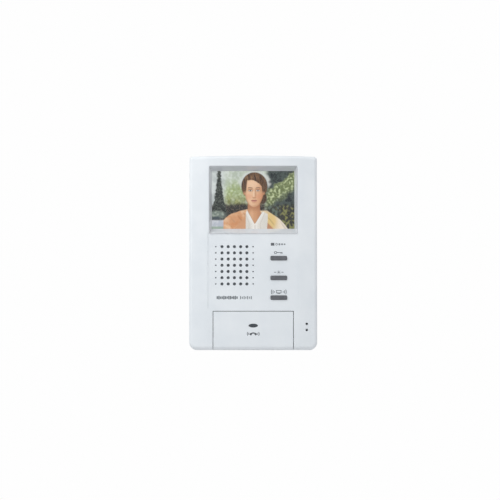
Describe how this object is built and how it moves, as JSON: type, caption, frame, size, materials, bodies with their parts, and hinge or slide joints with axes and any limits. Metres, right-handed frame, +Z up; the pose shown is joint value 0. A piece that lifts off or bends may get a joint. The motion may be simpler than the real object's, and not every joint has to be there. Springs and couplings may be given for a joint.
{
  "type": "video intercom monitor",
  "caption": "Wall-hung hands-free video intercom monitor with a colour screen, speaker grille, grey keys and a wide hinged talk key, on a steel wall bracket.",
  "frame": {"origin": "centre of the wall bracket's screw pattern, on the wall plane, which is also the centre of the case", "axes": "+X to the right as seen from the room, +Z up, and the front faces -Y, with the wall plane at Y = 0"},
  "size_m": [0.115, 0.0305, 0.175],
  "materials": {
    "case_white": "fine spark texture",
    "bezel_white": "polished",
    "key_grey": "fine texture",
    "window_clear": "clear acrylic, gloss",
    "lens_smoke": "smoked, polished",
    "lcd_glass": "display glass under a polariser",
    "steel_plated": "zinc plated",
    "screw_steel": "zinc plated",
    "white_inner": "smooth",
    "black_plastic": "moulded",
    "foam_black": "closed-cell foam",
    "rubber_grey": "matt",
    "cloth_black": "woven dust cloth",
    "paper_black": "pressed cone paper",
    "ferrite": "matt ferrite and plated yoke",
    "board_green": "solder resist",
    "brass_pins": "plated",
    "wire_red": "PVC insulation",
    "ribbon_tan": "polyimide film",
    "terminal_green": "moulded",
    "can_aluminium": "drawn can",
    "coil_amber": "taped winding",
    "led_white": "moulded lens"
  },
  "bodies": {
    "bracket": {"wall_bracket": "steel_plated"},
    "unit": {"front_case": "case_white", "rear_case": "case_white", "case_screws": "screw_steel", "screen_bezel": "bezel_white", "window_lens": "window_clear", "lcd_gasket": "foam_black", "lcd_panel": "lcd_glass", "lcd_frame": "steel_plated", "backlight_unit": "white_inner", "lcd_holder": "black_plastic", "lcd_holder_screws": "screw_steel", "lcd_ribbon": "ribbon_tan", "lcd_socket": "black_plastic", "speaker_basket": "steel_plated", "speaker_cone": "paper_black", "speaker_magnet": "ferrite", "speaker_gasket": "foam_black", "speaker_clamps": "steel_plated", "speaker_screws": "screw_steel", "speaker_tab": "board_green", "speaker_leads": "wire_red", "speaker_plug": "white_inner", "grille_cloth": "cloth_black", "microphone": "can_aluminium", "microphone_boot": "rubber_grey", "microphone_leads": "wire_red", "microphone_plug": "white_inner", "main_board": "board_green", "main_board_screws": "screw_steel", "key_board": "board_green", "key_board_screws": "screw_steel", "link_header": "black_plastic", "link_pins": "brass_pins", "chips": "black_plastic", "capacitors": "can_aluminium", "line_coil": "coil_amber", "terminal_block": "terminal_green", "terminal_cages": "brass_pins", "terminal_screws": "screw_steel", "status_led": "led_white", "status_lens": "lens_smoke", "talk_led": "led_white", "switch_housings": "black_plastic", "brightness_pot": "black_plastic", "volume_switch": "steel_plated"},
    "talk": {"talk_key": "case_white", "talk_lens": "lens_smoke"},
    "talk_switch": {"talk_plunger": "black_plastic"},
    "release": {"release_key": "key_grey", "release_plunger": "black_plastic"},
    "option": {"option_key": "key_grey", "option_plunger": "black_plastic"},
    "monitor": {"monitor_key": "key_grey", "monitor_plunger": "black_plastic"},
    "brightness": {"brightness_wheel": "key_grey"},
    "volume": {"volume_knob": "key_grey"}
  },
  "joints": [
    {"name": "hang_slide", "type": "slide", "parent": "bracket", "child": "unit", "axis": [0, 0, 1], "range_m": [0, 0.0045]},
    {"name": "talk_press", "type": "hinge", "parent": "unit", "child": "talk", "pos_m": [0, -0.0246, -0.0575], "axis": [1, 0, 0], "range_deg": [0, 1.6], "stiffness_Nm_per_rad": 0.4, "springref_deg": -3.44},
    {"name": "talk_switch_press", "type": "slide", "parent": "unit", "child": "talk_switch", "axis": [0, 1, 0], "range_m": [0, 0.0005]},
    {"name": "release_press", "type": "slide", "parent": "unit", "child": "release", "axis": [0, 1, 0], "range_m": [0, 0.0005], "stiffness_N_per_m": 800, "springref_m": -0.0006},
    {"name": "option_press", "type": "slide", "parent": "unit", "child": "option", "axis": [0, 1, 0], "range_m": [0, 0.0005], "stiffness_N_per_m": 800, "springref_m": -0.0006},
    {"name": "monitor_press", "type": "slide", "parent": "unit", "child": "monitor", "axis": [0, 1, 0], "range_m": [0, 0.0005], "stiffness_N_per_m": 800, "springref_m": -0.0006},
    {"name": "brightness_turn", "type": "hinge", "parent": "unit", "child": "brightness", "pos_m": [0.0509, -0.0163, 0.035], "axis": [0, -1, 0], "range_deg": [-130, 130]},
    {"name": "volume_slide", "type": "slide", "parent": "unit", "child": "volume", "axis": [0, 0, 1], "range_m": [-0.002, 0.002]}
  ],
  "couplings": [
    {"joint": "talk_switch_press", "follows": "talk_press", "m_per_rad": 0.0145}
  ]
}
